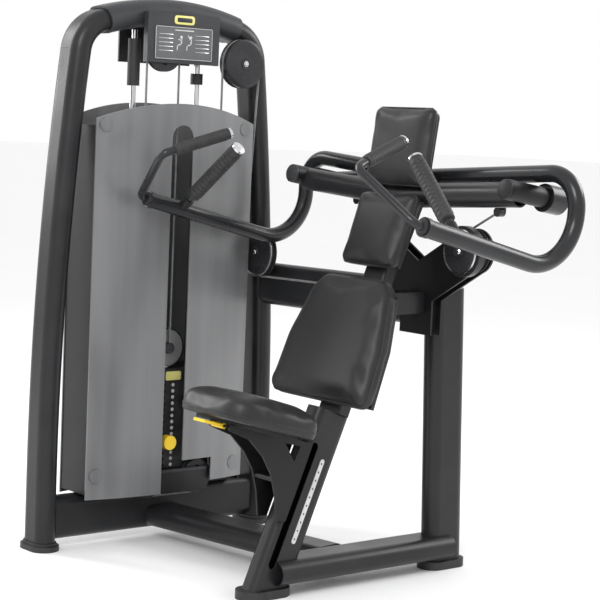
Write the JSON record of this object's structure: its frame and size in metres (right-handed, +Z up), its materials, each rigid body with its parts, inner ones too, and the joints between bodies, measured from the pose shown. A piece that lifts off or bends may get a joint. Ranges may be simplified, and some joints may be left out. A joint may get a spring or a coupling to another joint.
{
  "type": "seated shoulder press machine",
  "caption": "Seated press machine with a covered weight-stack tower, a padded inclined back rest, a height-adjustable seat and two crossed swinging arms with double grips.",
  "frame": {"origin": "on the floor below the middle of the bounding box", "axes": "+Z up, +X across the machine from the weight tower to the user's left, -Y is the way the user faces"},
  "size_m": [1.3409, 0.937, 1.487],
  "materials": {
    "frame_paint": "satin powder coat",
    "arm_paint": "gloss powder coat",
    "black_metal": "satin black paint",
    "steel": "polished",
    "iron": "matt black enamel",
    "shroud_plastic": "silver satin moulding",
    "hood_plastic": "fine grained moulding",
    "black_plastic": "fine grained moulding",
    "pulley_plastic": "smooth moulding",
    "pad_cover": "satin vinyl",
    "rubber": "matt",
    "cable": "smooth sheath",
    "panel": "printed panel",
    "strip": "matt",
    "yellow_plastic": "smooth"
  },
  "bodies": {
    "frame": {"tower_leg_front": "frame_paint", "tower_leg_rear": "frame_paint", "tower_arch": "frame_paint", "tower_cross_tube": "frame_paint", "tower_feet": "rubber", "base_tube": "frame_paint", "rear_base_tube": "frame_paint", "rear_post": "frame_paint", "frame_feet": "rubber", "seat_column": "frame_paint", "upper_strut": "frame_paint", "pulley_bracket": "black_metal", "pulley_covers": "pulley_plastic", "spine": "frame_paint", "pivot_beam": "frame_paint", "pivot_housings": "black_metal", "headrest_bracket": "black_metal", "back_boards": "black_plastic", "lower_back_pad": "pad_cover", "middle_back_pad": "pad_cover", "headrest_pad": "pad_cover", "guide_rods": "steel", "rod_buffers": "rubber", "stack_base": "black_metal", "side_panels": "black_plastic", "front_shroud": "shroud_plastic", "rear_shroud": "shroud_plastic", "shroud_bolts": "shroud_plastic", "hood": "hood_plastic", "instruction_panel": "panel", "resting_plates": "iron", "tower_pulley_brackets": "black_metal", "pulley_axles": "steel", "main_cable": "cable", "lift_cable": "cable", "left_pull_cable": "cable", "right_pull_cable": "cable", "position_strip": "strip", "gas_strut": "steel"},
    "stack": {"lifted_plates": "iron", "top_plate": "iron", "lift_disc": "pulley_plastic", "selector_rod": "steel"},
    "pin": {"selector_pin": "yellow_plastic"},
    "hood_wheel": {"hood_pulley": "pulley_plastic"},
    "rear_top_wheel": {"rear_top_pulley": "pulley_plastic"},
    "rear_low_wheel": {"rear_low_pulley": "pulley_plastic"},
    "return_front_wheel": {"return_pulley_front": "pulley_plastic"},
    "return_rear_wheel": {"return_pulley_rear": "pulley_plastic"},
    "left_bracket_wheel": {"left_bracket_pulley": "pulley_plastic"},
    "right_bracket_wheel": {"right_bracket_pulley": "pulley_plastic"},
    "seat": {"seat_pad": "pad_cover", "seat_carriage": "black_metal"},
    "lever": {"seat_lever": "yellow_plastic"},
    "left_press": {"left_arm": "arm_paint", "left_handle_bars": "arm_paint", "left_grips": "rubber"},
    "right_press": {"right_arm": "arm_paint", "right_handle_bars": "arm_paint", "right_grips": "rubber"}
  },
  "joints": [
    {"name": "left_arm_press", "type": "hinge", "parent": "frame", "child": "left_press", "pos_m": [-0.2825, 0.1675, 1.03], "axis": [0, -0.989, 0.1478], "range_deg": [0, 36], "deforming": ["right_pull_cable"]},
    {"name": "right_arm_press", "type": "hinge", "parent": "frame", "child": "right_press", "pos_m": [0.5195, 0.1675, 1.03], "axis": [0, 0.989, -0.1478], "range_deg": [0, 36], "deforming": ["left_pull_cable"]},
    {"name": "stack_lift", "type": "slide", "parent": "frame", "child": "stack", "axis": [0, 0, 1], "range_m": [0, 0.0932], "deforming": ["lift_cable"]},
    {"name": "pin_slide", "type": "slide", "parent": "stack", "child": "pin", "axis": [1, 0, 0], "range_m": [0, 0.06]},
    {"name": "hood_pulley_spin", "type": "hinge", "parent": "frame", "child": "hood_wheel", "pos_m": [-0.5135, -0.1195, 1.346], "axis": [1, 0, 0], "range_deg": [0, 101.5]},
    {"name": "return_front_pulley_spin", "type": "hinge", "parent": "frame", "child": "return_front_wheel", "pos_m": [-0.5135, -0.1275, 0.168], "axis": [1, 0, 0], "range_deg": [0, 119.4]},
    {"name": "return_rear_pulley_spin", "type": "hinge", "parent": "frame", "child": "return_rear_wheel", "pos_m": [-0.5135, 0.0365, 0.168], "axis": [1, 0, 0], "range_deg": [0, 119.4]},
    {"name": "rear_top_pulley_spin", "type": "hinge", "parent": "frame", "child": "rear_top_wheel", "pos_m": [-0.5135, 0.1465, 1.325], "axis": [1, 0, 0], "range_deg": [-83, 0]},
    {"name": "rear_low_pulley_spin", "type": "hinge", "parent": "frame", "child": "rear_low_wheel", "pos_m": [-0.5015, 0.2265, 0.798], "axis": [0, 1, 0], "range_deg": [-79.4, 0]},
    {"name": "left_bracket_pulley_spin", "type": "hinge", "parent": "frame", "child": "left_bracket_wheel", "pos_m": [0.2965, 0.2825, 0.863], "axis": [0, 1, 0], "range_deg": [0, 94.7]},
    {"name": "right_bracket_pulley_spin", "type": "hinge", "parent": "frame", "child": "right_bracket_wheel", "pos_m": [-0.0595, 0.2825, 0.863], "axis": [0, 1, 0], "range_deg": [-94.7, 0]},
    {"name": "seat_height", "type": "slide", "parent": "frame", "child": "seat", "axis": [0, 0.3923, 0.9198], "range_m": [-0.09, 0.05]},
    {"name": "seat_release", "type": "hinge", "parent": "seat", "child": "lever", "pos_m": [0.1185, -0.36692, 0.44086], "axis": [-1, 0, 0], "range_deg": [0, 8], "stiffness_Nm_per_rad": 3, "springref_deg": -17.19}
  ],
  "couplings": [
    {"joint": "right_arm_press", "follows": "left_arm_press", "ratio": 1},
    {"joint": "stack_lift", "follows": "left_arm_press", "m_per_rad": 0.148},
    {"joint": "hood_pulley_spin", "follows": "left_arm_press", "ratio": 2.7925},
    {"joint": "return_front_pulley_spin", "follows": "left_arm_press", "ratio": 3.2889},
    {"joint": "return_rear_pulley_spin", "follows": "left_arm_press", "ratio": 3.2889},
    {"joint": "rear_top_pulley_spin", "follows": "left_arm_press", "ratio": -2.2769},
    {"joint": "rear_low_pulley_spin", "follows": "left_arm_press", "ratio": -2.1765},
    {"joint": "left_bracket_pulley_spin", "follows": "left_arm_press", "ratio": 2.6038},
    {"joint": "right_bracket_pulley_spin", "follows": "left_arm_press", "ratio": -2.6038}
  ]
}
